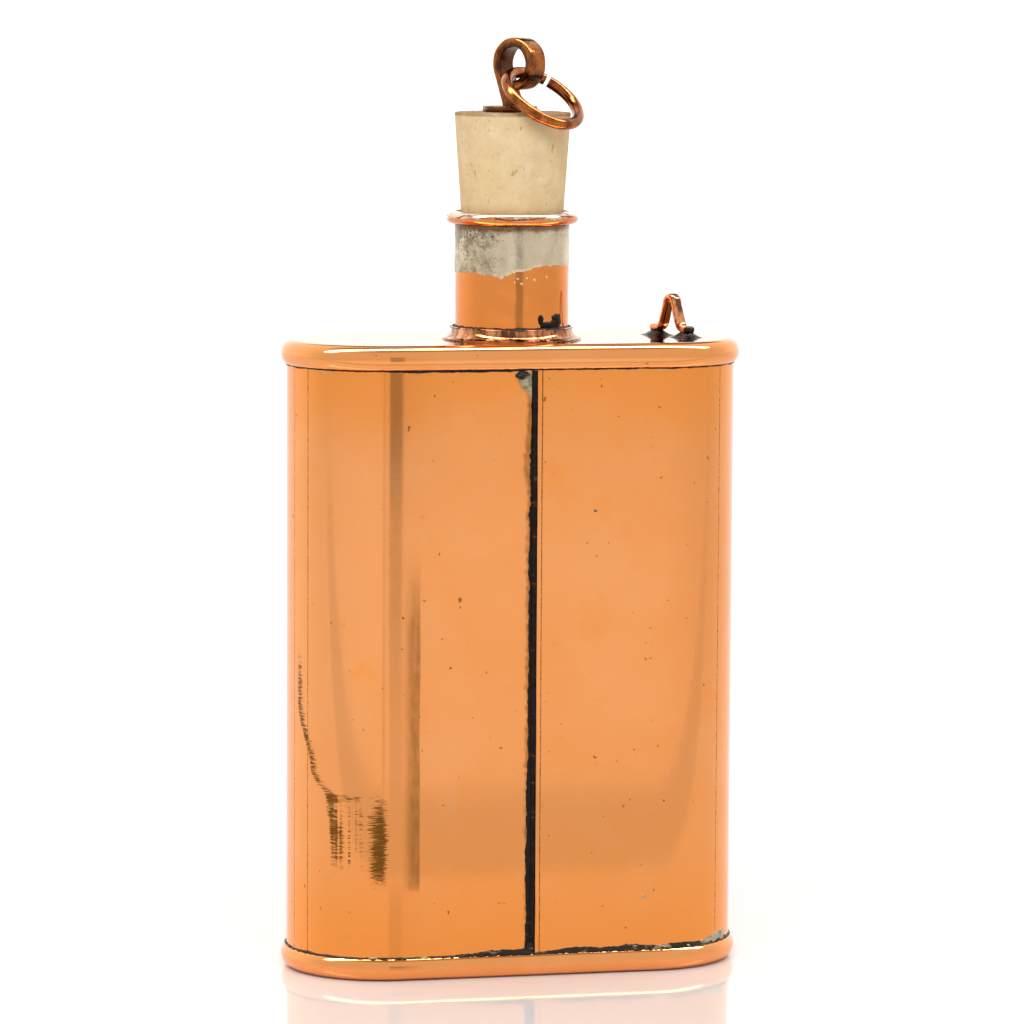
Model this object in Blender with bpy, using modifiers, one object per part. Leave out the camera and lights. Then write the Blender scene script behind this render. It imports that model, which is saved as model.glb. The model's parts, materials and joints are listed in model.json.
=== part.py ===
"""A hand-soldered flat copper bottle with a cork stopper, modelled in metres with +Z up.

The origin is in the middle of the base. The bottle's width lies along X, its lapped front
seam faces -Y, and the stopper stands on the Z axis. Pieces that are soldered, wedged or
resting on each other in the real bottle keep a gap of TOUCH_GAP here.
"""
import math

import bmesh
import bpy

MM = 0.001
TOUCH_GAP = 0.3 * MM

# Body: one sheet bent round a stadium section, its ends lapped at the front
BODY_WIDTH = 83.2 * MM
BODY_DEPTH = 35.2 * MM
SHEET = 0.8 * MM
SEAM_X = 0.9 * MM
SEAM_GROOVE = 1.5 * MM
SEAM_LAP = 4.0 * MM
ARC_STEPS = 20

# Caps: pressed dishes whose half-round rims go over the ends of the body and tuck in to it
CAP_WALL = 0.7 * MM
CAP_FLOOR = 0.8 * MM
CAP_RIM_RADIUS = 2.2 * MM
SHOULDER_Z = 115.4 * MM
SHOULDER_RIM = 5.1 * MM
BASE_RIM = 4.4 * MM
RIM_STEPS = 5
RIM_TUCK = CAP_RIM_RADIUS - math.sqrt(CAP_RIM_RADIUS**2 - (CAP_RIM_RADIUS - CAP_WALL)**2)
JOINT_BEAD = 0.6 * MM

# Neck: a tube through the shoulder, with a flared collar at its foot and a bead at its mouth
NECK_RADIUS = 10.4 * MM
NECK_WALL = 0.55 * MM
NECK_TOP_Z = 138.4 * MM
NECK_FOOT_Z = 113.6 * MM
COLLAR_RADIUS = 12.8 * MM
COLLAR_TOP_RADIUS = 11.3 * MM
COLLAR_HEIGHT = 2.2 * MM
LIP_RADIUS = 12.1 * MM
LIP_Z = 137.5 * MM
LIP_HALF_HEIGHT = 1.15 * MM
TURN_STEPS = 48

# Stopper: a tapered cork with a plate on it and a rove under it
CORK_TOP_Z = 156.7 * MM
CORK_BOTTOM_Z = 126.5 * MM
CORK_TOP_RADIUS = 10.6 * MM
CORK_BOTTOM_RADIUS = 8.55 * MM
CORK_EDGE = 0.5 * MM
PLATE_RADIUS = 5.5 * MM
ROVE_RADIUS = 5.0 * MM
WASHER_THICKNESS = 0.8 * MM

# Eye: a strip curled to a loop, its tang going down the stopper's axis to a clenched foot
EYE_STRIP_WIDTH = 4.2 * MM
EYE_STRIP_THICKNESS = 1.7 * MM
EYE_OUTER_RADIUS = 4.8 * MM
EYE_Z = 165.5 * MM
EYE_OFFSET = 1.5 * MM
EYE_PLANE_ANGLE = math.radians(-54.5)
EYE_LOOP_END = math.radians(-105.0)
EYE_LOOP_STEPS = 20
TANG_TOP_Z = 158.3 * MM
CLENCH_BEND = 1.3 * MM
CLENCH_REACH = 4.2 * MM

# Split ring: round wire through the eye, lying down over the cork's rim
RING_RADIUS = 7.33 * MM
RING_WIRE_RADIUS = 1.05 * MM
RING_DROP_IN_EYE = 1.6 * MM
RING_TILT = math.radians(38.5)
RING_GAP = 0.8 * MM
RING_GAP_ANGLE = math.radians(48.0)
RING_POINTS = 44

# Staple: a bent strip on the shoulder, its feet pointing outwards
STAPLE_X = 30.4 * MM
STAPLE_PLANE_ANGLE = math.radians(-64.2)
STAPLE_STRIP_WIDTH = 2.3 * MM
STAPLE_STRIP_THICKNESS = 1.2 * MM
STAPLE_FOOT_REACH = 5.5 * MM
STAPLE_LEG_SPREAD = 2.8 * MM
STAPLE_ARCH_RADIUS = 1.35 * MM
STAPLE_HEIGHT = 7.8 * MM
STAPLE_FOOT_LIFT = 0.95 * MM
FOOT_SOLDER_LENGTH = 5.0 * MM
FOOT_SOLDER_WIDTH = 3.6 * MM

CUT_MARGIN = 2.0 * MM
MERGE = 0.00001

parts = None
cutters = None


def clear_scene():
    """Remove the objects and meshes that are already there."""
    for old_object in list(bpy.data.objects):
        bpy.data.objects.remove(old_object, do_unlink=True)
    for old_collection in list(bpy.data.collections):
        bpy.data.collections.remove(old_collection)


def new_collection(name):
    collection = bpy.data.collections.new(name)
    bpy.context.scene.collection.children.link(collection)
    return collection


def make_material(name, colour, roughness, metallic):
    """A Principled BSDF of one colour."""
    material = bpy.data.materials.new(name)
    material.use_nodes = True
    shader = material.node_tree.nodes["Principled BSDF"]
    shader.inputs["Base Color"].default_value = (*colour, 1.0)
    shader.inputs["Roughness"].default_value = roughness
    shader.inputs["Metallic"].default_value = metallic
    material.diffuse_color = (*colour, 1.0)
    return material


def add_part(name, mesh, material):
    """A part's object, with its material, in the bottle's collection."""
    part = bpy.data.objects.new(name, mesh)
    mesh.materials.clear()
    mesh.materials.append(material)
    parts.objects.link(part)
    return part


def add_cutter(name, mesh):
    """A cutter's object, shown as wires and left out of the build."""
    cutter = bpy.data.objects.new(name, mesh)
    cutter.hide_render = True
    cutter.display_type = "WIRE"
    cutters.objects.link(cutter)
    return cutter


def cut(part, cutter):
    modifier = part.modifiers.new("cut_" + cutter.name, "BOOLEAN")
    modifier.operation = "DIFFERENCE"
    modifier.object = cutter


def bevel(part, width, steps, angle=math.radians(50.0)):
    modifier = part.modifiers.new("rounded", "BEVEL")
    modifier.width = width
    modifier.segments = steps
    modifier.limit_method = "ANGLE"
    modifier.angle_limit = angle


def arc(centre_x, centre_y, radius, start, end, steps):
    """Points on an arc from the start angle to the end angle, both included."""
    points = []
    for step in range(steps + 1):
        angle = start + (end - start) * step / steps
        points.append((centre_x + radius * math.cos(angle), centre_y + radius * math.sin(angle)))
    return points


def stadium(width, depth):
    """A flat-sided outline with round ends, anticlockwise from the front right."""
    radius = depth / 2
    flat = width / 2 - radius
    right = arc(flat, 0, radius, -math.pi / 2, math.pi / 2, ARC_STEPS)
    left = arc(-flat, 0, radius, math.pi / 2, 3 * math.pi / 2, ARC_STEPS)
    return right + left


def curve_mesh(name, outlines, half_thickness, closed):
    """The mesh of a 2D curve with straight pieces, extruded along its own Z both ways."""
    curve = bpy.data.curves.new(name, "CURVE")
    curve.dimensions = "2D"
    curve.fill_mode = "BOTH" if closed else "NONE"
    curve.extrude = half_thickness
    for outline in outlines:
        spline = curve.splines.new("POLY")
        spline.points.add(len(outline) - 1)
        for point, (x, y) in zip(spline.points, outline):
            point.co = (x, y, 0, 1)
        spline.use_cyclic_u = closed
    helper = bpy.data.objects.new(name, curve)
    bpy.context.scene.collection.objects.link(helper)
    depsgraph = bpy.context.evaluated_depsgraph_get()
    mesh = bpy.data.meshes.new_from_object(helper.evaluated_get(depsgraph))
    mesh.name = name
    bpy.data.objects.remove(helper, do_unlink=True)
    bpy.data.curves.remove(curve)
    shape = bmesh.new()
    shape.from_mesh(mesh)
    bmesh.ops.remove_doubles(shape, verts=shape.verts, dist=MERGE)
    if closed:
        bmesh.ops.dissolve_limit(
            shape, angle_limit=math.radians(1.0), verts=shape.verts, edges=shape.edges)
        bmesh.ops.recalc_face_normals(shape, faces=shape.faces)
    shape.to_mesh(mesh)
    shape.free()
    return mesh


def plate_mesh(name, outlines, low, high):
    """A flat outline, or one with holes, between two heights."""
    mesh = curve_mesh(name, outlines, (high - low) / 2, closed=True)
    shape = bmesh.new()
    shape.from_mesh(mesh)
    bmesh.ops.translate(shape, verts=shape.verts, vec=(0, 0, (low + high) / 2))
    shape.to_mesh(mesh)
    shape.free()
    return mesh


def box_mesh(name, size_x, size_y, low, high):
    mesh = bpy.data.meshes.new(name)
    shape = bmesh.new()
    bmesh.ops.create_cube(shape, size=1.0)
    bmesh.ops.scale(shape, verts=shape.verts, vec=(size_x, size_y, high - low))
    bmesh.ops.translate(shape, verts=shape.verts, vec=(0, 0, (low + high) / 2))
    shape.to_mesh(mesh)
    shape.free()
    return mesh


def cylinder_mesh(name, radius, low, high):
    mesh = bpy.data.meshes.new(name)
    shape = bmesh.new()
    bmesh.ops.create_cone(
        shape, cap_ends=True, segments=TURN_STEPS, radius1=radius, radius2=radius, depth=high - low)
    bmesh.ops.translate(shape, verts=shape.verts, vec=(0, 0, (low + high) / 2))
    shape.to_mesh(mesh)
    shape.free()
    return mesh


def turned_part(name, profile, material, closed):
    """A profile of (radius, height) points turned round Z; it runs down its outer side."""
    mesh = bpy.data.meshes.new(name)
    shape = bmesh.new()
    verts = [shape.verts.new((radius, 0, height)) for radius, height in profile]
    for start, end in zip(verts, verts[1:]):
        shape.edges.new((start, end))
    if closed:
        shape.edges.new((verts[-1], verts[0]))
    shape.to_mesh(mesh)
    shape.free()
    part = add_part(name, mesh, material)
    screw = part.modifiers.new("turned", "SCREW")
    screw.axis = "Z"
    screw.steps = TURN_STEPS
    screw.render_steps = TURN_STEPS
    screw.use_merge_vertices = True
    screw.merge_threshold = MERGE
    screw.use_smooth_shade = True
    return part


def strip_part(name, path, width, thickness, plane_angle, material):
    """A strip bent along a path of (along, up) points in the upright plane at plane_angle."""
    part = add_part(name, curve_mesh(name, [path], width / 2, closed=False), material)
    solid = part.modifiers.new("strip", "SOLIDIFY")
    solid.thickness = thickness
    solid.offset = 0
    solid.use_even_offset = True
    part.rotation_euler = (math.radians(90.0), 0, plane_angle)
    return part


def build_body(copper):
    """The sheet: under the lap, round the back, and back to the cut edge at the seam."""
    radius = BODY_DEPTH / 2
    flat = BODY_WIDTH / 2 - radius
    step_in = SHEET + TOUCH_GAP
    path = [
        (SEAM_X + SEAM_LAP, -radius + step_in),
        (SEAM_X - SEAM_GROOVE + step_in, -radius + step_in),
        (SEAM_X - SEAM_GROOVE, -radius),
    ]
    path += arc(-flat, 0, radius, -math.pi / 2, -3 * math.pi / 2, ARC_STEPS)
    path += arc(flat, 0, radius, math.pi / 2, -math.pi / 2, ARC_STEPS)
    path.append((SEAM_X, -radius))
    low = CAP_FLOOR + TOUCH_GAP
    high = SHOULDER_Z - CAP_FLOOR - TOUCH_GAP
    mesh = curve_mesh("body_wrap", [path], (high - low) / 2, closed=False)
    body = add_part("body_wrap", mesh, copper)
    body.location.z = (low + high) / 2
    solid = body.modifiers.new("sheet", "SOLIDIFY")
    solid.thickness = SHEET
    solid.offset = -1
    solid.use_even_offset = True


def build_cap(name, low, high, opening_low, opening_high, copper):
    """A dish: a slab with a half-round edge, hollowed to fit over the body."""
    clearance = 2 * TOUCH_GAP
    wall = 2 * CAP_WALL
    rim = stadium(BODY_WIDTH + clearance + wall, BODY_DEPTH + clearance + wall)
    cap = add_part(name, plate_mesh(name, [rim], low, high), copper)
    bevel(cap, CAP_RIM_RADIUS, RIM_STEPS)
    hollow = stadium(BODY_WIDTH + clearance, BODY_DEPTH + clearance)
    hollow_mesh = plate_mesh(name + "_hollow", [hollow], opening_low, opening_high)
    cut(cap, add_cutter(name + "_hollow", hollow_mesh))
    return cap


def build_caps(copper):
    shoulder_low = SHOULDER_Z - SHOULDER_RIM
    shoulder = build_cap(
        "shoulder_cap", shoulder_low, SHOULDER_Z,
        shoulder_low - CUT_MARGIN, SHOULDER_Z - CAP_FLOOR, copper)
    hole = cylinder_mesh(
        "neck_hole", NECK_RADIUS + TOUCH_GAP, SHOULDER_Z - CUT_MARGIN, SHOULDER_Z + CUT_MARGIN)
    cut(shoulder, add_cutter("neck_hole", hole))
    build_cap("base_cap", 0, BASE_RIM, CAP_FLOOR, BASE_RIM + CUT_MARGIN, copper)


def build_joint_solder(solder):
    """The runs of solder in the lap seam and where the caps' rims meet the body."""
    front = -BODY_DEPTH / 2
    slope_x = SEAM_X - SEAM_GROOVE + 1.2 * TOUCH_GAP
    seam = [
        (slope_x, front),
        (SEAM_X - TOUCH_GAP, front),
        (SEAM_X - TOUCH_GAP, front + SHEET),
        (slope_x + SHEET, front + SHEET),
    ]
    low = BASE_RIM - RIM_TUCK + TOUCH_GAP
    high = SHOULDER_Z - SHOULDER_RIM + RIM_TUCK - TOUCH_GAP
    add_part("body_seam_solder", plate_mesh("body_seam_solder", [seam], low, high), solder)
    inner = stadium(BODY_WIDTH + 2 * TOUCH_GAP, BODY_DEPTH + 2 * TOUCH_GAP)
    spread = 2 * (TOUCH_GAP + JOINT_BEAD)
    outer = stadium(BODY_WIDTH + spread, BODY_DEPTH + spread)
    for name, edge in (("shoulder_joint_solder", high - JOINT_BEAD), ("base_joint_solder", low)):
        bead = plate_mesh(name, [outer, inner], edge, edge + JOINT_BEAD)
        add_part(name, bead, solder)


def build_neck(copper, solder):
    bore = NECK_RADIUS - NECK_WALL
    neck = [
        (NECK_RADIUS, NECK_TOP_Z),
        (NECK_RADIUS, NECK_FOOT_Z),
        (bore, NECK_FOOT_Z),
        (bore, NECK_TOP_Z),
    ]
    turned_part("neck_tube", neck, copper, closed=True)
    inside = NECK_RADIUS + TOUCH_GAP

    collar_low = SHOULDER_Z + TOUCH_GAP
    collar_high = SHOULDER_Z + COLLAR_HEIGHT
    flare = COLLAR_RADIUS - COLLAR_TOP_RADIUS
    collar = arc(
        COLLAR_RADIUS, collar_high, flare, math.pi, 3 * math.pi / 2, 5)
    collar += [(COLLAR_RADIUS, collar_low), (inside, collar_low), (inside, collar_high)]
    turned_part("neck_collar", collar, copper, closed=True)

    bulge = LIP_RADIUS - inside
    lip = []
    for along, up in arc(0, 0, 1, math.pi / 2, -math.pi / 2, 8):
        lip.append((inside + bulge * along, LIP_Z + LIP_HALF_HEIGHT * up))
    turned_part("lip_ring", lip, copper, closed=True)

    foot = collar_high + TOUCH_GAP
    neck_fillet = [(inside, foot + JOINT_BEAD), (inside + JOINT_BEAD, foot), (inside, foot)]
    turned_part("neck_joint_solder", neck_fillet, solder, closed=True)
    under_lip = LIP_Z - LIP_HALF_HEIGHT - TOUCH_GAP
    lip_fillet = [
        (inside + JOINT_BEAD, under_lip),
        (inside, under_lip - 2 * JOINT_BEAD),
        (inside, under_lip),
    ]
    turned_part("lip_joint_solder", lip_fillet, solder, closed=True)


def build_staple(copper, solder):
    """The staple's path goes foot, leg, arch, leg, foot in its own upright plane."""
    base = SHOULDER_Z + STAPLE_FOOT_LIFT + STAPLE_STRIP_THICKNESS / 2
    arch_z = SHOULDER_Z + STAPLE_HEIGHT - STAPLE_STRIP_THICKNESS / 2 - STAPLE_ARCH_RADIUS
    bend = STAPLE_STRIP_THICKNESS / 2
    half = [(STAPLE_FOOT_REACH, base), (STAPLE_LEG_SPREAD + bend, base)]
    half.append((STAPLE_LEG_SPREAD, base + bend))
    half += arc(0, arch_z, STAPLE_ARCH_RADIUS, 0, math.pi / 2, 5)
    path = half + [(-along, up) for along, up in reversed(half[:-1])]
    staple = strip_part(
        "chain_staple", path, STAPLE_STRIP_WIDTH, STAPLE_STRIP_THICKNESS,
        STAPLE_PLANE_ANGLE, copper)
    staple.location.x = STAPLE_X
    bevel(staple, STAPLE_STRIP_THICKNESS / 4, 1)

    pad = stadium(FOOT_SOLDER_LENGTH, FOOT_SOLDER_WIDTH)[::4]
    pad_low = SHOULDER_Z + TOUCH_GAP
    pad_high = SHOULDER_Z + STAPLE_FOOT_LIFT - TOUCH_GAP
    reach = (STAPLE_FOOT_REACH + STAPLE_LEG_SPREAD) / 2
    for name, side in (("staple_foot_solder_front", 1), ("staple_foot_solder_rear", -1)):
        foot = add_part(name, plate_mesh(name, [pad], pad_low, pad_high), solder)
        foot.rotation_euler.z = STAPLE_PLANE_ANGLE
        foot.location.x = STAPLE_X + side * reach * math.cos(STAPLE_PLANE_ANGLE)
        foot.location.y = side * reach * math.sin(STAPLE_PLANE_ANGLE)


def build_stopper(cork_brown, aged_copper):
    """The cork and its plate are slotted for the eye's tang; the rove has a round hole."""
    slot = box_mesh(
        "tang_slot", EYE_STRIP_THICKNESS + 2 * TOUCH_GAP, EYE_STRIP_WIDTH + 2 * TOUCH_GAP,
        CORK_BOTTOM_Z - CUT_MARGIN, CORK_TOP_Z + CUT_MARGIN)
    slot_cutter = add_cutter("tang_slot", slot)
    slot_cutter.rotation_euler.z = EYE_PLANE_ANGLE

    cork = [
        (0, CORK_TOP_Z),
        (CORK_TOP_RADIUS - CORK_EDGE, CORK_TOP_Z),
        (CORK_TOP_RADIUS, CORK_TOP_Z - CORK_EDGE),
        (CORK_BOTTOM_RADIUS, CORK_BOTTOM_Z + CORK_EDGE),
        (CORK_BOTTOM_RADIUS - CORK_EDGE, CORK_BOTTOM_Z),
        (0, CORK_BOTTOM_Z),
    ]
    cut(turned_part("cork_stopper", cork, cork_brown, closed=False), slot_cutter)

    plate_low = CORK_TOP_Z + TOUCH_GAP
    disc = cylinder_mesh("stopper_plate", PLATE_RADIUS, plate_low, plate_low + WASHER_THICKNESS)
    cut(add_part("stopper_plate", disc, aged_copper), slot_cutter)

    rove_high = CORK_BOTTOM_Z - TOUCH_GAP
    rove_low = rove_high - WASHER_THICKNESS
    hole = math.hypot(EYE_STRIP_WIDTH, EYE_STRIP_THICKNESS) / 2 + TOUCH_GAP
    rove = [(ROVE_RADIUS, rove_high), (ROVE_RADIUS, rove_low), (hole, rove_low), (hole, rove_high)]
    turned_part("stopper_rove", rove, aged_copper, closed=True)
    return rove_low


def build_eye(rove_low, aged_copper):
    """The strip's path: round the loop, down the leaning stem and the tang, to the foot."""
    radius = EYE_OUTER_RADIUS - EYE_STRIP_THICKNESS / 2
    stem_length = math.hypot(EYE_OFFSET, EYE_Z - TANG_TOP_Z)
    to_centre = math.atan2(EYE_Z - TANG_TOP_Z, EYE_OFFSET)
    stem_angle = to_centre + math.asin(radius / stem_length)
    loop_start = stem_angle + math.pi / 2
    path = arc(EYE_OFFSET, EYE_Z, radius, EYE_LOOP_END, loop_start, EYE_LOOP_STEPS)
    path.append((0, TANG_TOP_Z))
    foot_z = rove_low - TOUCH_GAP - EYE_STRIP_THICKNESS / 2
    path += arc(CLENCH_BEND, foot_z + CLENCH_BEND, CLENCH_BEND, math.pi, 3 * math.pi / 2, 4)
    path.append((CLENCH_REACH, foot_z))
    strip_part(
        "stopper_eye", path, EYE_STRIP_WIDTH, EYE_STRIP_THICKNESS, EYE_PLANE_ANGLE, aged_copper)


def build_ring(aged_copper):
    """The ring's origin is on its hinge line, where its wire lies in the eye."""
    gap = RING_GAP / RING_RADIUS
    start = RING_GAP_ANGLE + gap / 2
    curve = bpy.data.curves.new("split_ring", "CURVE")
    curve.dimensions = "3D"
    curve.bevel_depth = RING_WIRE_RADIUS
    curve.bevel_resolution = 2
    curve.use_fill_caps = True
    wire = arc(0, 0, RING_RADIUS, start, start + 2 * math.pi - gap, RING_POINTS)
    spline = curve.splines.new("POLY")
    spline.points.add(len(wire) - 1)
    for point, (towards_eye, sideways) in zip(spline.points, wire):
        point.co = (RING_RADIUS - towards_eye, sideways, 0, 1)
    curve.materials.append(aged_copper)
    ring = bpy.data.objects.new("split_ring", curve)
    parts.objects.link(ring)
    ring.location = (
        EYE_OFFSET * math.cos(EYE_PLANE_ANGLE),
        EYE_OFFSET * math.sin(EYE_PLANE_ANGLE),
        EYE_Z - RING_DROP_IN_EYE,
    )
    ring.rotation_euler = (0, RING_TILT, EYE_PLANE_ANGLE)


clear_scene()
parts = new_collection("copper_water_bottle")
cutters = new_collection("cutters")
bright_copper = make_material("bright_copper", (0.85, 0.42, 0.24), 0.15, 1.0)
worn_copper = make_material("worn_copper", (0.55, 0.22, 0.09), 0.3, 1.0)
grey_solder = make_material("grey_solder", (0.35, 0.32, 0.29), 0.5, 0.8)
pale_cork = make_material("pale_cork", (0.78, 0.66, 0.45), 0.85, 0.0)
build_body(bright_copper)
build_caps(bright_copper)
build_joint_solder(grey_solder)
build_neck(bright_copper, grey_solder)
build_staple(bright_copper, grey_solder)
build_eye(build_stopper(pale_cork, worn_copper), worn_copper)
build_ring(worn_copper)
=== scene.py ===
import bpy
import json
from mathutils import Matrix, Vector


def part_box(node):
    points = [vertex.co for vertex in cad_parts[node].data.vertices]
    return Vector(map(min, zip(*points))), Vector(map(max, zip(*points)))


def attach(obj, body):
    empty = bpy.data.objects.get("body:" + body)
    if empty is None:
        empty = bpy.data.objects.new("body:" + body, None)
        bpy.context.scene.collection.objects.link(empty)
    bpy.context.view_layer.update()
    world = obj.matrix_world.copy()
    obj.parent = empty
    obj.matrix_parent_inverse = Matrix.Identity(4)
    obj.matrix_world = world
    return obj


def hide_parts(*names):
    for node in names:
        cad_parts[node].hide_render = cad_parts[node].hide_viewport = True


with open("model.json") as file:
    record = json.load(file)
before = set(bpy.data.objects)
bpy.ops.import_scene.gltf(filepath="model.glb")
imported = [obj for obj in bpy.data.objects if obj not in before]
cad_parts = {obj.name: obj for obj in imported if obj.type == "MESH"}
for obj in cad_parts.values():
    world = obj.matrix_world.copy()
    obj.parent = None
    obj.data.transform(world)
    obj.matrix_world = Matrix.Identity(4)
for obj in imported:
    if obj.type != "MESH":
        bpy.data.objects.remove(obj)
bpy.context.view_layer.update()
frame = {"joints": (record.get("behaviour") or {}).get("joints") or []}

# The copper bottle's looks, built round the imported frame. Metres, +Z up, seam facing -Y.

import json
from math import acos, asin, atan2, cos, degrees, exp, floor, hypot, pi, radians, sin, sqrt

import bmesh
import bpy
from mathutils import Matrix, Vector, noise

MM = 0.001
TOUCH_GAP = 0.3 * MM


# --- measures from the frame

body_low, body_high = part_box("body_wrap")
shoulder_low, shoulder_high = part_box("shoulder_cap")
base_low, base_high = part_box("base_cap")
seam_low, seam_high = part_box("body_seam_solder")
neck_low, neck_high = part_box("neck_tube")
collar_low, collar_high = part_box("neck_collar")
lip_low, lip_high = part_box("lip_ring")
cork_low, cork_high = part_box("cork_stopper")
plate_low, plate_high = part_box("stopper_plate")
rove_low, rove_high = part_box("stopper_rove")
eye_low, eye_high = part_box("stopper_eye")
staple_low, staple_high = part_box("chain_staple")

BODY_RADIUS = body_high.y
BODY_FLAT = body_high.x - BODY_RADIUS
RIM_SPREAD = shoulder_high.x - body_high.x
SHEET = 0.8 * MM
SEAM_X = seam_high.x + TOUCH_GAP
SHOULDER_Z = shoulder_high.z
SHOULDER_LIP = shoulder_low.z
BASE_LIP = base_high.z + 0.45 * MM
NECK_RADIUS = neck_high.x
NECK_BORE = NECK_RADIUS - 0.55 * MM
COLLAR_RADIUS = collar_high.x
LIP_RADIUS = lip_high.x
LIP_Z = (lip_low.z + lip_high.z) / 2
LIP_HALF = (lip_high.z - lip_low.z) / 2

ring_joint = next(joint for joint in frame["joints"] if joint["name"] == "ring_swing")
RING_HINGE = Vector(ring_joint["pos_m"])
RING_AXIS = -Vector(ring_joint["axis"]).normalized()
EYE_ALONG = Vector((RING_AXIS.y, -RING_AXIS.x, 0))
UP = Vector((0, 0, 1))


# --- small helpers

def smoothstep(low, high, value):
    share = min(1.0, max(0.0, (value - low) / (high - low)))
    return share * share * (3 - 2 * share)


def hump(centre, width, value):
    """A smooth bell, 1 at its centre."""
    return exp(-((value - centre) / width) ** 2)


def dent(centre, half, value):
    """A narrow groove's share of its depth."""
    return max(0.0, 1 - abs(value - centre) / half)


def spread(low, high, steps):
    """Evenly spaced numbers from low to high."""
    return [low + (high - low) * step / steps for step in range(steps + 1)]


def full_turn(steps):
    return spread(0, 2 * pi, steps)[:-1]


def wander(x, y=0.0, z=0.0):
    """Smooth noise from about -1 to 1, the same each run."""
    return noise.noise(Vector((x, y, z)))


def ragged(x, seed):
    """Rougher noise of three octaves, for broken edges of solder."""
    total = wander(x, seed) + 0.5 * wander(2.3 * x, seed, 7.1) + 0.25 * wander(5.1 * x, seed, 3.7)
    return total / 1.2


def round_wander(angle, waves, seed):
    """Noise that joins up with itself round a full turn."""
    return wander(waves * cos(angle), waves * sin(angle), seed)


def link_new(name, data):
    item = bpy.data.objects.new(name, data)
    bpy.context.scene.collection.objects.link(item)
    return item


def make_piece(name, loops, material, node=None, body="flask", sharp=50, closed=False, marks=None):
    """A piece skinned over loops of equal length, riding on a body and standing for a CAD node.

    A closed piece joins its last loop to its first. Any other has both ends filled in.
    The marks are numbers on its points, by name, for its material to read.
    """
    shape = bmesh.new()
    rows = [[shape.verts.new(point) for point in loop] for loop in loops]
    after = rows[1:] + rows[:1] if closed else rows[1:]
    for row, following in zip(rows, after):
        for i in range(len(row)):
            j = (i + 1) % len(row)
            shape.faces.new((row[i], row[j], following[j], following[i]))
    if not closed:
        shape.faces.new(rows[0])
        shape.faces.new(rows[-1])
    bmesh.ops.recalc_face_normals(shape, faces=shape.faces)
    mesh = bpy.data.meshes.new(name)
    shape.to_mesh(mesh)
    shape.free()
    mesh.shade_smooth()
    mesh.set_sharp_from_angle(angle=radians(sharp))
    mesh.materials.append(material)
    for mark, values in (marks or {}).items():
        mesh.attributes.new(mark, "FLOAT", "POINT").data.foreach_set("value", values)
    piece = link_new(name, mesh)
    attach(piece, body)
    if node:
        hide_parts(node)


def spin(radius, angle, height):
    """A point beside the Z axis."""
    return Vector((radius * cos(angle), radius * sin(angle), height))


def turned(profile, steps, wobble):
    """Loops of a turned profile of (radius, height); wobble(angle, index) adds to the radius."""
    return [[spin(radius + wobble(angle, index), angle, height) for angle in full_turn(steps)]
            for index, (radius, height) in enumerate(profile)]


def arc(centre_x, centre_y, radius, start, end, steps):
    return [(centre_x + radius * cos(angle), centre_y + radius * sin(angle))
            for angle in spread(start, end, steps)]


def bar_section(width, thickness, edge, steps):
    """A rectangle with rounded edges, as (across, through) points."""
    points = []
    for quarter, (side, face) in enumerate(((1, 1), (-1, 1), (-1, -1), (1, -1))):
        centre = (side * (width / 2 - edge), face * (thickness / 2 - edge))
        points += arc(*centre, edge, quarter * pi / 2, (quarter + 1) * pi / 2, steps)
    return points


def sweep(path, section, side, size_at):
    """Loops of a section carried along a path; side is the section's first direction."""
    loops = []
    side = side.normalized()
    last = len(path) - 1
    for i, point in enumerate(path):
        tangent = path[min(i + 1, last)] - path[max(i - 1, 0)]
        through = side.cross(tangent.normalized()).normalized()
        size = size_at(i)
        loops.append([point + side * (a * size) + through * (t * size) for a, t in section])
    return loops


def hand_bent(count, near, depth, uneven, waves, seed):
    """A size_at for sweep(): a slightly uneven bar whose last few loops are rounded off."""
    def size_at(i):
        edge = min(i, count - 1 - i)
        size = 1 + uneven * wander(i / waves, seed)
        if edge < near:
            size *= 1 - depth * (1 - sqrt(1 - (1 - edge / near) ** 2))
        return size
    return size_at


# --- the bottle's outline

def outline_point(distance, offset=0.0):
    """A point and its outward normal on the stadium, clockwise seen from above, from X = 0 in front."""
    flat = 2 * BODY_FLAT
    along = (distance + BODY_FLAT) % OUTLINE_LENGTH
    side = 1
    if along > OUTLINE_LENGTH / 2:      # the back half is the front half turned round
        side = -1
        along -= OUTLINE_LENGTH / 2
    bend = max(0.0, along - flat) / BODY_RADIUS
    normal = side * spin(1, -pi / 2 - bend, 0)
    centre = Vector((side * (BODY_FLAT - min(along, flat)), 0, 0))
    return centre + normal * (BODY_RADIUS + offset), normal


OUTLINE_LENGTH = 4 * BODY_FLAT + 2 * pi * BODY_RADIUS


def outline_loop(offset, height, steps):
    """A closed loop round the bottle; offset and height may be functions of distance."""
    loop = []
    for step in range(steps):
        distance = OUTLINE_LENGTH * step / steps
        out = offset(distance) if callable(offset) else offset
        up = height(distance) if callable(height) else height
        point, _ = outline_point(distance, out)
        loop.append(point + UP * up)
    return loop


# --- material nodes

MIX_SHARE, MIX_FIRST, MIX_SECOND, MIX_RESULT = 0, 6, 7, 2    # a colour Mix node's sockets


def feed(socket, value):
    """Links an input to another node's output, or sets it to a number, vector or colour."""
    if isinstance(value, bpy.types.NodeSocket):
        socket.id_data.links.new(value, socket)
    else:
        socket.default_value = (*value, 1) if socket.type == "RGBA" else value


def feed_all(node, inputs):
    """Feeds inputs by name, with _ for a space."""
    for key, value in inputs.items():
        feed(node.inputs[key.replace("_", " ")], value)


def add_node(tree, kind, settings=None, **inputs):
    node = tree.nodes.new("ShaderNode" + kind)
    for key, value in (settings or {}).items():
        setattr(node, key, value)
    feed_all(node, inputs)
    return node


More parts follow.
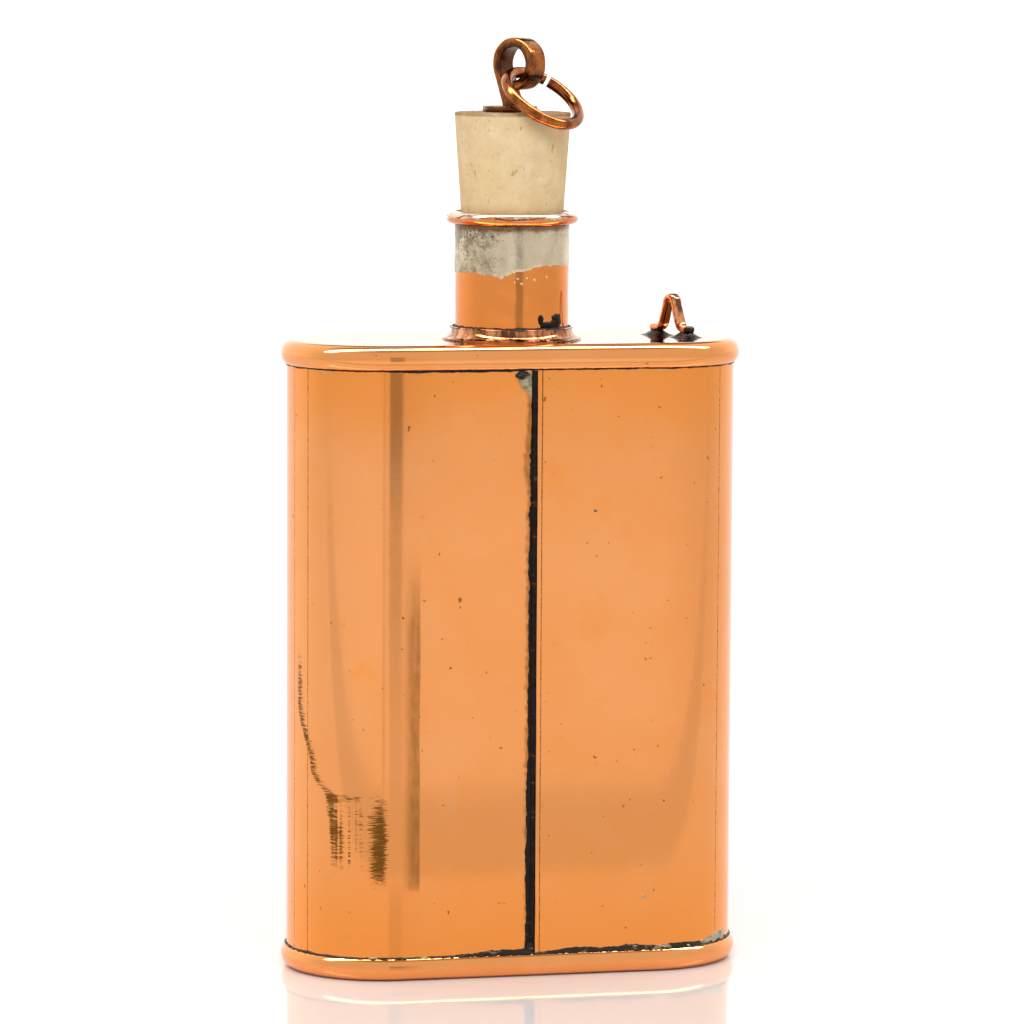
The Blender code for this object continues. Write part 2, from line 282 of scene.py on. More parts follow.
def ramp(value, low, high, to_low=0.0, to_high=1.0):
    """A smooth step between two numbers as the value goes from low to high."""
    return add_node(value.id_data, "MapRange", {"interpolation_type": "SMOOTHSTEP"}, Value=value,
                    From_Min=low, From_Max=high, To_Min=to_low, To_Max=to_high).outputs["Result"]


def maths(operation, first, second):
    node = add_node(first.id_data, "Math", {"operation": operation})
    feed(node.inputs[0], first)
    feed(node.inputs[1], second)
    return node.outputs[0]


def times(first, second):
    return maths("MULTIPLY", first, second)


def plus(first, second):
    return maths("ADD", first, second)


def blend(share, first, second):
    node = add_node(share.id_data, "Mix", {"data_type": "RGBA"})
    for index, value in ((MIX_SHARE, share), (MIX_FIRST, first), (MIX_SECOND, second)):
        feed(node.inputs[index], value)
    return node.outputs[MIX_RESULT]


def bump(height, strength, distance, under=None):
    """The surface's normal, tipped by the height's slope, over an earlier bump."""
    node = add_node(height.id_data, "Bump", Height=height, Strength=strength, Distance=distance)
    if under is not None:
        feed(node.inputs["Normal"], under)
    return node.outputs["Normal"]


class Look:
    """A material in the making: a colour that layers cover, and noise in the object's own space."""

    def __init__(self, name, colour, **inputs):
        self.material = bpy.data.materials.new(name)
        self.material.use_nodes = True
        self.tree = self.material.node_tree
        self.shader = self.tree.nodes["Principled BSDF"]
        self.colour = colour
        self.coords = add_node(self.tree, "TexCoord").outputs["Object"]
        feed_all(self.shader, inputs)

    def noise(self, scale, detail=3.0, rough=0.55, stretch=(1, 1, 1)):
        """Noise in cycles a metre, stretched by axis."""
        vector = add_node(self.tree, "Mapping", Vector=self.coords, Scale=stretch).outputs["Vector"]
        return add_node(self.tree, "TexNoise", Vector=vector, Scale=scale, Detail=detail,
                        Roughness=rough).outputs["Fac"]

    def axis(self, letter):
        return add_node(self.tree, "SeparateXYZ", Vector=self.coords).outputs[letter]

    def mark(self, name):
        """The numbers that the piece carries on its points."""
        return add_node(self.tree, "Attribute", {"attribute_name": name}).outputs["Fac"]

    def cover(self, share, colour):
        self.colour = blend(share, self.colour, colour)

    def finish(self, rough, normal):
        feed_all(self.shader, {"Base Color": self.colour, "Roughness": rough, "Normal": normal})
        return self.material


# --- materials

COPPER = (0.865, 0.330, 0.102)
COPPER_WARM = (0.88, 0.300, 0.058)
COPPER_PALE = (0.875, 0.360, 0.128)
COPPER_DEEP = (0.66, 0.185, 0.038)
RUST = (0.66, 0.21, 0.03)
TARNISH_AND_DARK_REFLECTION = (0.20, 0.075, 0.013)
BROWN_STAIN_AND_DARK_REFLECTION = (0.30, 0.105, 0.020)
FILM_DARK = (0.20, 0.155, 0.085)
FILM_BRIGHT = (0.58, 0.50, 0.33)


def polished_copper(name, brush=(1, 1, 60), heat_low=None, heat_high=None, dull=0.0, deep=0.0):
    """Finely brushed bright copper, warmer in patches and where the torch has heated it.

    The body's sheet carries three marks on its points: the first, a painted dark hook-shaped reflection
    with tarnished scribed lines, frayed into dark hairs along the brushing; the second, painted soft dark
    reflections and a brown stain by the seam; and tinned, a film of solder wiped over it.
    """
    look = Look(name, COPPER, Metallic=1.0, Roughness=0.1)
    patches = ramp(look.noise(45), 0.35, 0.7)
    look.cover(patches, COPPER_PALE)
    look.cover(ramp(look.noise(95, 5, 0.6, (1, 1, 0.8)), 0.56, 0.75, 0, 0.5), COPPER_WARM)
    reach = plus(look.axis("Z"), times(look.noise(80), 0.016))
    for edge, far in ((heat_low, 0.03), (heat_high, -0.016)):
        if edge is not None:
            start = edge + 0.008
            look.cover(ramp(reach, start, start + far, 0.8, 0.0), COPPER_WARM)
    if deep:
        look.cover(ramp(patches, 0, 1, deep, 0.8 * deep), COPPER_DEEP)
    look.cover(ramp(look.noise(700, 2, 0.5), 0.738, 0.768, 0, 0.8), TARNISH_AND_DARK_REFLECTION)
    look.cover(ramp(look.noise(300, 6, 0.75), 0.645, 0.73, 0, 0.5), RUST)
    streaky = look.noise(1500, 3, 0.6, (0.07, 0.07, 1))
    look.cover(ramp(streaky, 0.60, 0.75, 0, 0.28), COPPER_WARM)
    tarnish_and_dark_reflection = look.mark("tarnish_and_dark_reflection")
    # Painted dark reflection: the hook-shaped mark, with the tarnished scribed lines, frayed into dark
    # hairs.
    fray = plus(tarnish_and_dark_reflection, times(look.noise(6500, 2, 0.5, (0.09, 0.09, 1)), 1.5))
    look.cover(times(ramp(fray, 1.05, 1.40), ramp(tarnish_and_dark_reflection, 0.03, 0.30)), TARNISH_AND_DARK_REFLECTION)
    broken = ramp(look.noise(900, 4, 0.6, (1, 1, 0.3)), 0.2, 0.7, 0.6, 1.0)
    # Painted soft dark reflections by the left curve, and a brown stain beside the seam.
    look.cover(times(look.mark("brown_stain_and_dark_reflection"), broken), BROWN_STAIN_AND_DARK_REFLECTION)
    film = look.mark("tinned")
    cloudy = ramp(look.noise(700, 4, 0.6), 0.3, 0.7)
    look.cover(film, blend(cloudy, FILM_DARK, FILM_BRIGHT))
    smudge = ramp(look.noise(60, 4, 0.6), 0.3, 0.75, 0.03 + dull, 0.07 + dull)
    lines = look.noise(160, 5, 0.75, brush)
    rough = plus(plus(smudge, times(lines, 0.03)), times(film, 0.35))
    pits = ramp(look.noise(1500, 2, 0.5), 0.72, 0.8, 1, 0)
    return look.finish(rough, bump(pits, 0.2, 0.00003, bump(lines, 0.10, 0.00002)))


def aged_copper():
    """Browned copper with dark hollows, bright worn places, and sooty darkening where its points say so.
    """
    look = Look("aged_copper", (0.44, 0.135, 0.027), Metallic=1.0, Roughness=0.2,
                Coat_Weight=0.15, Coat_Roughness=0.05)
    look.cover(ramp(look.noise(380, 5, 0.65), 0.35, 0.68), (0.17, 0.042, 0.009))
    look.cover(ramp(look.noise(600, 4, 0.6, (1, 1, 0.4)), 0.52, 0.72, 0, 0.65), (0.60, 0.21, 0.052))
    look.cover(ramp(look.noise(900, 4, 0.6), 0.60, 0.70, 0, 0.85), (0.045, 0.017, 0.008))
    soot_and_dark_reflection = look.mark("soot_and_dark_reflection")
    broken = ramp(look.noise(700, 4, 0.65), 0.25, 0.55, 0.6, 1.0)
    look.cover(times(soot_and_dark_reflection, broken), (0.03, 0.012, 0.006))
    rough = plus(ramp(look.noise(800, 4), 0.3, 0.7, 0.08, 0.22), times(soot_and_dark_reflection, 0.14))
    marks = bump(look.noise(1300, 4, 0.6), 0.14, 0.00006)
    scratches = look.noise(700, 3, 0.6, (1, 1, 12))
    return look.finish(rough, bump(scratches, 0.10, 0.00004, marks))


def worn_copper_with_painted_reflections(name, stretch, dark_share):
    """Polished copper, brown and black in streaks along a stretched axis, sooty and with painted dark
    reflections where its points say so.
    Stretched upright, as on the collar, the streaks are painted reflection columns; on the staple they
    are stain patches.
    """
    look = Look(name, (0.84, 0.36, 0.155), Metallic=1.0, Roughness=0.08,
                Coat_Weight=0.3, Coat_Roughness=0.04)
    # Brown, then black: stain patches on the staple, painted reflection columns where stretched upright
    # on the collar.
    stains_and_reflection_streaks = look.noise(420, 5, 0.65, stretch)
    look.cover(ramp(stains_and_reflection_streaks, 0.40 - dark_share, 0.62 - dark_share), (0.34, 0.105, 0.03))
    black = ramp(look.noise(500, 4, 0.6, stretch), 0.60 - dark_share, 0.66 - dark_share)
    look.cover(times(black, 0.85), (0.05, 0.02, 0.01))
    # Sooty places, and on the staple painted dark reflections, from the points' mark.
    look.cover(look.mark("soot_and_dark_reflection"), (0.035, 0.014, 0.008))
    rough = ramp(look.noise(800, 4), 0.3, 0.7, 0.04, 0.16)
    return look.finish(rough, bump(look.noise(1000, 4, 0.6), 0.15, 0.00006))


def tinned_copper():
    """The mouth's bead: copper below, patches of bright tin over its upper half."""
    look = Look("tinned_copper", (0.72, 0.25, 0.095), Metallic=1.0, Roughness=0.08)
    height = look.axis("Z")
    reach = plus(height, times(look.noise(420, 5, 0.65), 0.0042))
    look.cover(ramp(reach, LIP_Z + 0.0022, LIP_Z + 0.0027, 0, 0.85), (0.78, 0.70, 0.58))
    look.cover(ramp(reach, LIP_Z + 0.0008, LIP_Z + 0.0016, 0.75, 0), (0.30, 0.09, 0.02))
    black = look.noise(800, 5, 0.7, (1, 1, 1.6))
    look.cover(ramp(black, 0.64, 0.69, 0, 0.85), (0.05, 0.025, 0.012))
    sway = times(look.noise(130, 2), 0.0022)
    across = maths("SUBTRACT", plus(height, sway), LIP_Z + 0.0015)
    line = ramp(times(across, across), 0.5e-8, 4e-8, 0.8, 0)
    look.cover(times(line, ramp(look.noise(230), 0.42, 0.55)), (0.13, 0.03, 0.01))
    rough = ramp(look.noise(700, 4), 0.3, 0.7, 0.04, 0.14)
    return look.finish(rough, bump(look.noise(700, 4, 0.6), 0.25, 0.0001))


def solder(name, dark, grey, grey_share, dull=0.5):
    """Rough soft solder, grey where it shows and black with burnt flux elsewhere."""
    look = Look(name, dark, Metallic=0.6, Roughness=dull)
    stretch = (0.35, 0.35, 1)
    show = look.noise(900, 5, 0.65, stretch)
    look.cover(ramp(show, 0.66 - grey_share, 0.80 - grey_share), grey)
    look.cover(ramp(look.noise(1100, 4, 0.6, stretch), 0.6, 0.72, 0, 0.6), (0.16, 0.065, 0.02))
    rough = ramp(look.noise(900, 4), 0.3, 0.7, dull - 0.2, dull + 0.2)
    lumps = bump(look.noise(900, 5, 0.65), 0.7, 0.00025)
    return look.finish(rough, bump(look.noise(3000), 0.3, 0.0001, lumps))


def tin():
    """A wiped tin coat: soft bright bands, dark pits, a dirty top and left side, and a painted shadow
    under the bead.
    """
    look = Look("tin_coat", (0.69, 0.59, 0.43), Metallic=1.0, Roughness=0.2)
    bands = look.noise(200, 4, 0.6, (1.5, 1.5, 0.5))
    look.cover(ramp(bands, 0.3, 0.7), (0.57, 0.46, 0.30))
    height = look.axis("Z")
    wobble = times(look.noise(300, 4), 0.004)
    upper = ramp(plus(height, wobble), LIP_Z - 0.0042, LIP_Z + 0.0008)
    left = ramp(look.axis("X"), -0.010, 0.001, 0.20, 0.0)
    dirtier = plus(times(upper, 0.13), left)
    dirt = plus(look.noise(420, 6, 0.75), dirtier)
    look.cover(ramp(dirt, 0.60, 0.85, 0, 0.8), (0.20, 0.15, 0.085))
    pits = ramp(plus(look.noise(2300, 3, 0.6), times(dirtier, 0.5)), 0.70, 0.75, 0, 0.9)
    look.cover(pits, (0.05, 0.035, 0.022))
    # Painted shadow: a dark band on the tin just under the bead.
    under = plus(height, times(look.noise(180), 0.0022))
    look.cover(ramp(under, LIP_Z - 0.0013, LIP_Z - 0.0004, 0, 0.85), (0.16, 0.065, 0.025))
    rough = ramp(look.noise(500, 4), 0.3, 0.7, 0.12, 0.30)
    return look.finish(rough, bump(pits, -0.5, 0.00012, bump(look.noise(420, 5, 0.6), 0.18, 0.0002)))


def cork():
    """Pale cork with fine grain, brown pores, and darker over its top and its top edge."""
    look = Look("cork", (0.62, 0.46, 0.258), Metallic=0.0, Roughness=0.75, Specular_IOR_Level=0.12)
    look.cover(ramp(look.noise(300, 6, 0.65), 0.3, 0.7), (0.72, 0.572, 0.355))
    look.cover(ramp(look.noise(110, 3, 0.5), 0.35, 0.7, 0, 0.5), (0.66, 0.48, 0.235))
    flecks = ramp(look.noise(1000, 3, 0.55, (1, 1, 0.55)), 0.655, 0.70, 0, 0.75)
    look.cover(flecks, (0.42, 0.26, 0.085))
    pores = ramp(look.noise(330, 5, 0.7, (1, 1, 1.8)), 0.70, 0.74, 0, 0.85)
    look.cover(pores, (0.20, 0.11, 0.04))
    # Darker over the top face and the top edge, broken by noise.
    edge = ramp(look.axis("Z"), cork_high.z - 0.0008, cork_high.z - 0.0004, 0, 0.85)
    broken = ramp(look.noise(260, 4), 0.3, 0.6, 0.45, 1.0)
    look.cover(times(edge, broken), (0.33, 0.19, 0.08))
    rough = ramp(look.noise(500), 0.3, 0.7, 0.62, 0.85)
    holes = bump(plus(flecks, pores), -0.6, 0.0003)
    return look.finish(rough, bump(look.noise(1500, 4), 0.25, 0.0001, holes))


copper_body = polished_copper("copper_body", heat_low=BASE_LIP, heat_high=SHOULDER_LIP)
copper_rim = polished_copper("copper_rim", brush=(1, 1, 20))
copper_turned = polished_copper("copper_turned", (1, 1, 40), SHOULDER_Z, dull=0.06, deep=0.45)
copper_aged = aged_copper()
flux_black = solder("flux_black", (0.008, 0.005, 0.003), (0.07, 0.05, 0.035), 0.0)
solder_mixed = solder("solder_mixed", (0.022, 0.015, 0.010), (0.33, 0.27, 0.17), 0.12)
solder_grey = solder("solder_grey", (0.12, 0.095, 0.06), (0.42, 0.36, 0.25), 0.3, 0.42)
flux_shiny = solder("flux_shiny", (0.010, 0.005, 0.004), (0.045, 0.028, 0.02), -0.02, 0.25)
copper_staple = worn_copper_with_painted_reflections("copper_staple", (1, 1, 1), -0.05)
# Its upright brown and black streaks are painted reflection columns.
copper_collar = worn_copper_with_painted_reflections("copper_collar", (1, 1, 0.2), 0.055)
copper_lip = tinned_copper()
tin_coat = tin()
cork_pale = cork()


# --- body and caps

GROOVE_END = 1.25 * MM
EDGE_LINE = 0.75 * MM
LAP = 4.0 * MM
RIM_RADIUS = 2.2 * MM
SCRIBED = (BODY_FLAT + 19.05 * MM, BODY_FLAT + 23.65 * MM, OUTLINE_LENGTH - BODY_FLAT - 13.4 * MM)


def joggle(left_of_cut):
    """How deep the left sheet dips under the right one, by distance left of the cut edge."""
    return (SHEET + 0.05 * MM) * (1 - smoothstep(0.55 * MM, GROOVE_END, left_of_cut))


def sheet_wave(distance, height):
    """The hand-bent sheet's slight waves, none of them under the caps."""
    hold = smoothstep(SHOULDER_LIP, SHOULDER_LIP - 0.012, height)
    hold *= smoothstep(BASE_LIP, BASE_LIP + 0.010, height)
    broad = 0.030 * MM * wander(distance / 0.023, height / 0.045, 1.7)
    fine = 0.003 * MM * wander(distance / 0.006, height / 0.018, 5.2)
    return hold * (broad + fine)


def scribed_lines(distance):
    """Thin upright lines: one beside the cut edge, two on the left edge and one on the right."""
    depth = dent(EDGE_LINE, 0.14 * MM, OUTLINE_LENGTH - SEAM_X - distance)
    for line in SCRIBED:
        depth += 0.8 * dent(line, 0.24 * MM, distance)
    return min(1.0, depth)


def painted_hook_reflection(distance, height):
    """A painted dark reflection, hook-shaped, low on the left edge: a thin left arm, a thick right one.
    """
    side = (distance - BODY_FLAT) / MM
    z = height / MM
    arm = 21.9 - 4.0 * smoothstep(50, 38, z) - 3.9 * smoothstep(38, 33, z)
    arm -= 1.4 * smoothstep(32, 22, z)
    wide = 0.5 + 0.9 * smoothstep(60, 46, z) + 1.6 * smoothstep(36, 26, z)
    gap = arm - side
    left = smoothstep(-0.9, 0.1, gap) * smoothstep(wide + 1.4, 0.1, gap)
    left *= smoothstep(68, 52, z) * smoothstep(16, 28, z)
    stroke = 0.35 * ragged(z / 0.35, 5.0)
    right = smoothstep(1.6, 4.0, side + stroke) * smoothstep(7.6, 3.8, side + 2 * stroke)
    right *= smoothstep(39.5, 27.0, z) * smoothstep(14.5, 21, z)
    bars = sum(0.5 * dent(centre, 0.5, side) for centre in (7.4, 8.3, 9.6, 11.2, 12.3, 13.2))
    bars *= smoothstep(34, 31, z) * smoothstep(17, 24, z)
    ledge = 0.5 * hump(33.4, 0.7, z) * smoothstep(16, 12, side) * smoothstep(6, 8, side)
    return min(1.0, (0.60 - 0.14 * smoothstep(36, 30, z)) * left + 0.80 * right + bars + ledge)


def brown_stain_and_dark_reflection_mark(distance, height):
    """Painted dark reflections as soft brown bands where the flat begins to curve, and a brown stain
    fringe beside the seam.
    """
    side = (distance - BODY_FLAT) / MM
    z = height / MM
    shift = 0.25 * wander(z / 18, 6.0)
    # Painted dark reflection: band and faint together make the soft U-shaped reflection by the curve.
    band = smoothstep(-3.45, -3.15, side - shift) * smoothstep(0.2, -2.2, side)
    band *= smoothstep(80, 62, z) * smoothstep(16.0, 17.5, z)
    faint = 0.30 * hump(3.4, 0.22, side) * smoothstep(30, 40, z)
    faint += 0.22 * smoothstep(0.0, 0.6, side) * smoothstep(3.3, 2.4, side) * smoothstep(45, 70, z)
    left = (distance + SEAM_X) / MM
    rough = 0.45 * ragged(z / 1.1, 2.0) + 0.35 * ragged(distance / 0.0006, z / 0.7)
    fringe = 0.0
    if 0 < left < 5:
        reach = 1.35 + 0.5 * smoothstep(102, 95, z) + 0.35 * ragged(z / 5.0, 4.0)
        reach += 0.5 * smoothstep(88, 94, z) * smoothstep(108, 103, z)
        fringe = 0.9 * smoothstep(reach + 0.55, reach - 0.3, left + rough)
    smudge = 0.30 * hump(-44.5, 2.0, side) * hump(26, 3.5, z)
    return min(1.0, 0.74 * band + faint + fringe + smudge)


def tin_film(distance, height):
    """Solder wiped thinly on the copper by the seam's top, its foot and the joints."""
    left = (distance + SEAM_X) / MM
    down = (SHOULDER_LIP - height) / MM
    up = (height - BASE_LIP) / MM
    rough = 0.5 * ragged(distance / 0.0014 + 3, height / 0.0016)
    film = 0.0
    if 0 < left < 12:
        reach = 3.9 * smoothstep(7.5, 0.0, down) + 0.45
        film = smoothstep(reach + 0.7, reach - 0.5, left + rough) * smoothstep(15, 9, down + 3 * rough)
        foot = 1.4 * smoothstep(2.0, 0.4, up) + 1.0
        film = max(film, smoothstep(foot + 0.5, foot - 0.2, left + rough) * smoothstep(2.6, 1.6, up))
    edge = 0.05 + 0.9 * ragged(distance / 0.0045, 8.0)
    film = max(film, 0.8 * smoothstep(edge + 0.35, edge - 0.2, down + rough) * smoothstep(0.1, 0.5, edge))
    return film


def sheet_columns(start, end):
    """Distances along the sheet, close together at its folds, its edges and its thin lines."""
    fine_at = [(start, -SEAM_X + 3 * MM), (end - 1.2 * MM, end)]
    fine_at += [(BODY_FLAT - 3.8 * MM, BODY_FLAT - 2.6 * MM)]
    fine_at += [(line - 0.4 * MM, line + 0.4 * MM) for line in SCRIBED]
    columns = []
    distance = start
    while distance < end - 0.05 * MM:
        columns.append(distance)
        near = any(low - 0.3 * MM <= distance <= high for low, high in fine_at)
        distance += 0.08 * MM if near else 0.42 * MM
    return columns + [end]


def make_body():
    """The sheet's section is a thin closed loop, carried up in levels."""
    columns = sheet_columns(-SEAM_X - LAP, OUTLINE_LENGTH - SEAM_X)
    last = len(columns) - 1
    loops = []
    marks = {"tarnish_and_dark_reflection": [], "tinned": [], "brown_stain_and_dark_reflection": []}
    for height in spread(body_low.z, body_high.z, 150):
        cut_wave = 0.05 * MM * wander(height / 0.008, 3.3) + 0.02 * MM * wander(height / 0.0012, 9.1)
        outside = []
        inside = []
        for i, distance in enumerate(columns):
            left_of_cut = distance + SEAM_X
            early = i < last // 2
            dip = joggle(left_of_cut) if early else 0.0
            dip += 0.03 * MM * scribed_lines(distance)
            point, normal = outline_point(distance + (cut_wave if i == last else 0))
            wave = 0.0 if early and left_of_cut < 0 else sheet_wave(distance, height)
            edge = 0.12 * MM if i == last else 0.05 * MM if i == last - 1 else 0.0
            outside.append(point + normal * (wave - dip - edge) + UP * height)
            inside.append(point + normal * (wave - dip - SHEET) + UP * height)
        loops.append(outside + inside[::-1])
        unmarked = [0.0] * len(columns)
        # The first mark is the painted hook reflection with tarnished scribed lines; the third is painted
        # dark reflections with a brown stain by the seam.
        marks["tarnish_and_dark_reflection"] += [max(painted_hook_reflection(d, height), 0.85 * scribed_lines(d)) for d in columns]
        marks["tinned"] += [tin_film(d, height) for d in columns]
        marks["brown_stain_and_dark_reflection"] += [brown_stain_and_dark_reflection_mark(d, height) for d in columns]
        for values in marks.values():
            values += unmarked
    make_piece("body_sheet", loops, copper_body, "body_wrap", sharp=35, marks=marks)


def rim_profile(lip, crown, sign):
    """The half-round rim as (offset, height) from its lip on the body to its flat."""
    tuck = acos(1 - (RIM_SPREAD - 0.05 * MM) / RIM_RADIUS)
    centre = RIM_SPREAD - RIM_RADIUS
    lip_centre = lip + sign * RIM_RADIUS * sin(tuck)
    crown_centre = crown - sign * RIM_RADIUS
    under = [(centre + out, lip_centre + sign * up) for out, up in arc(0, 0, RIM_RADIUS, -tuck, 0, 10)]
    over = [(centre + out, crown_centre + sign * up) for out, up in arc(0, 0, RIM_RADIUS, 0, pi / 2, 14)]
    return under + over


def rim_wave(distance, height):
    """Slight dents left by the hammer along a rim."""
    return 0.05 * MM * wander(distance / 0.013, height / 0.02, 8.8)


def rim_loops(profile, steps):
    loops = []
    for offset, height in profile:
        loops.append(outline_loop(
            lambda d, o=offset, h=height: o + rim_wave(d, h) * smoothstep(0, 0.6 * MM, o),
            lambda d, h=height: h + 0.04 * MM * wander(d / 0.018, 2.2),
            steps))
    return loops


def crown_loops(edge_loop, hole_radius, height, rings, rise):
    """Loops from a stadium edge inwards to a round hole, dished by rise(share)."""
    loops = []
    for share in spread(0, 1, rings)[1:]:
        loop = []
        for point in edge_loop:
            flat = Vector((point.x, point.y, 0))
            spot = flat.lerp(flat.normalized() * hole_radius, share)
            dip = 0.03 * MM * wander(spot.x / 0.014, spot.y / 0.014, 4.4) * sin(pi * share)
            spot.z = height + rise(share) + dip
            loop.append(spot)
        loops.append(loop)
    return loops


CAP_STEPS = 480
RUN_STEPS = 1500


def make_shoulder():
    loops = rim_loops(rim_profile(SHOULDER_LIP, SHOULDER_Z, 1), CAP_STEPS)
    crown = loops[-1]
    hole = NECK_RADIUS + 0.15 * MM
    loops += crown_loops(crown, hole, SHOULDER_Z, 26, lambda s: -0.12 * MM * s)
    loops += crown_loops(crown, hole, SHOULDER_Z - SHEET, 8, lambda s: 0)[::-1]
    loops.append(outline_loop(0.03 * MM, SHOULDER_Z - SHEET, CAP_STEPS))
    loops.append(outline_loop(0.03 * MM, SHOULDER_LIP + 0.1 * MM, CAP_STEPS))
    make_piece("shoulder_shell", loops, copper_rim, "shoulder_cap", closed=True)


def make_base():
    loops = rim_loops(rim_profile(BASE_LIP, base_low.z, -1), CAP_STEPS)
    for loop in loops:
        for point in loop:
            point.z = max(point.z, base_low.z)
    crown = loops[-1]
    middle = 0.5 * MM
    outside = crown_loops(crown, middle, base_low.z, 10, lambda s: 0.2 * MM * sin(pi * s))
    loops = outside[::-1] + loops[::-1]
    loops.append(outline_loop(0.03 * MM, BASE_LIP - 0.1 * MM, CAP_STEPS))
    loops.append(outline_loop(0.03 * MM, base_low.z + SHEET, CAP_STEPS))
    loops += crown_loops(crown, middle, base_low.z + SHEET, 6, lambda s: 0)
    make_piece("base_shell", loops, copper_rim, "base_cap")


# --- solder

def seam_fill(height):
    """How far the seam solder reaches left of the groove, in millimetres, at a height."""
    z = height / MM
    wide = 0.08 + 0.25 * ragged(z / 2.3, 1.3) + 0.14 * ragged(z / 0.9, 5.3)
    wide += 0.45 * smoothstep(100, 94, z) * smoothstep(78, 84, z) * (0.6 + ragged(z / 1.0, 3.0))
    wide += 0.55 * smoothstep(88, 74, z) * (0.75 + 0.6 * ragged(z / 7.0, 2.6))
    wide += 0.25 * smoothstep(45, 20, z)
    return max(0.05, wide)


def make_seam_solder():
    """A ragged run of burnt solder standing a little below the right sheet's face."""
    loops = []
    front = -BODY_RADIUS
    groove_left = SEAM_X - GROOVE_END + 0.1 * MM
    right = SEAM_X - 0.02 * MM
    in_groove = 7
    on_sheet = 8
    for height in spread(seam_low.z, seam_high.z, 620):
        wide = seam_fill(height) * MM
        face = []
        back = []
        for i in range(in_groove + on_sheet + 1):
            if i <= on_sheet:
                x = groove_left - wide * (1 - i / on_sheet)
            else:
                x = groove_left + (right - groove_left) * (i - on_sheet) / in_groove
            sheet_face = front + joggle(SEAM_X - x) + 0.02 * MM
            lump = ragged(x / 0.0007 + height / 0.0021, height / 0.0011)
            if i <= on_sheet:
                y = sheet_face - (0.05 + 0.02 * lump) * MM * smoothstep(0, 2, i)
            else:
                y = front + (0.42 + 0.10 * lump) * MM * smoothstep(on_sheet - 1, on_sheet + 2, i)
            face.append(Vector((x, min(y, sheet_face), height)))
            back.append(Vector((x, sheet_face + 0.08 * MM, height)))
        loops.append(face + back[::-1])
    make_piece("seam_run", loops, flux_black, "body_seam_solder", sharp=60)


def make_ring_solder(name, edge, down, width_at, proud, material, node, seed):
    """A ragged run of solder round the body, from a rim's edge outwards by width_at(distance)."""
    loops = []
    for share in spread(0, 1, 6):
        def height_at(distance):
            return edge + down * (width_at(distance) * share - 0.10 * MM)

        def offset_at(distance):
            lump = 0.5 + 0.5 * ragged(distance / 0.0011, seed + 3 * share)
            out = proud * (1 - share**1.5) * (0.35 + 1.0 * lump) + 0.03 * MM * (1 - share)
            sunk = 0.03 * MM if share == 1 else 0
            return out + sheet_wave(distance, height_at(distance)) - sunk

        loops.append(outline_loop(offset_at, height_at, RUN_STEPS))
    for height in (edge + down * 0.1 * MM, edge - down * 0.25 * MM):
        loops.append(outline_loop(-0.06 * MM, height, RUN_STEPS))
    make_piece(name, loops, material, node, sharp=60, closed=True)


def shoulder_run(distance):
    left = smoothstep(0, 4 * MM, distance) * smoothstep(28 * MM, 22 * MM, distance)
    width = 0.28 + 0.16 * ragged(distance / 0.0028, 11.0) + 0.10 * ragged(distance / 0.0008, 4.0)
    return (max(0.10, width) + 0.22 * left) * MM


def base_run(distance):
    """Thin on the left, a wedge up to the seam, and a heavy ragged run to the right edge."""
    right = (OUTLINE_LENGTH - distance if distance > OUTLINE_LENGTH / 2 else -distance) / MM
    width = 0.30 + 0.16 * ragged(distance / 0.0026, 21.0) + 0.12 * ragged(distance / 0.0007, 14.0)
    width += 0.85 * smoothstep(-17, -1.5, right) * smoothstep(0.8, -1.0, right)
    width += 0.65 * smoothstep(1.0, 8.0, right) * smoothstep(46, 36, right)
    width *= 1 + 0.35 * ragged(distance / 0.005, 31.0)
    return max(0.12, width) * MM


def body_spot(distance, height):
    point, normal = outline_point(distance)
    return point + UP * height, normal


def neck_spot(angle, height):
    normal = spin(1, angle, 0)
    return normal * NECK_RADIUS + UP * height, normal


def shoulder_spot(x, y):
    return Vector((x, y, SHOULDER_Z - 0.03 * MM)), UP


def make_smear(name, spot, centre, reach, thick, material, seed, node=None, rings=14, steps=72,
               turn=0.0, power=0.6, lumpy=0.35, uneven=0.28):
    """A lump of solder or flux: a dome with a ragged outline, sunk a little into a surface."""
    top = []
    bottom = []
    for share in spread(0, 1, rings)[1:]:
        upper = []
        lower = []
        for angle in full_turn(steps):
            rough = 1 + uneven * ragged(2.2 * cos(angle) + seed, 2.2 * sin(angle) + seed)
            a = reach[0] * share * rough * cos(angle)
            b = reach[1] * share * rough * sin(angle)
            point, normal = spot(centre[0] + a * cos(turn) - b * sin(turn),
                                 centre[1] + a * sin(turn) + b * cos(turn))
            lump = 1 + lumpy * ragged(a / 0.0012 + seed, b / 0.0012)
            rise = thick * lump * max(0.0, 1 - share**2) ** power - 0.04 * MM
            upper.append(point + normal * rise)
            lower.append(point - normal * 0.12 * MM)
        top.append(upper)
        bottom.append(lower)
    make_piece(name, top + bottom[::-1], material, node, sharp=60)


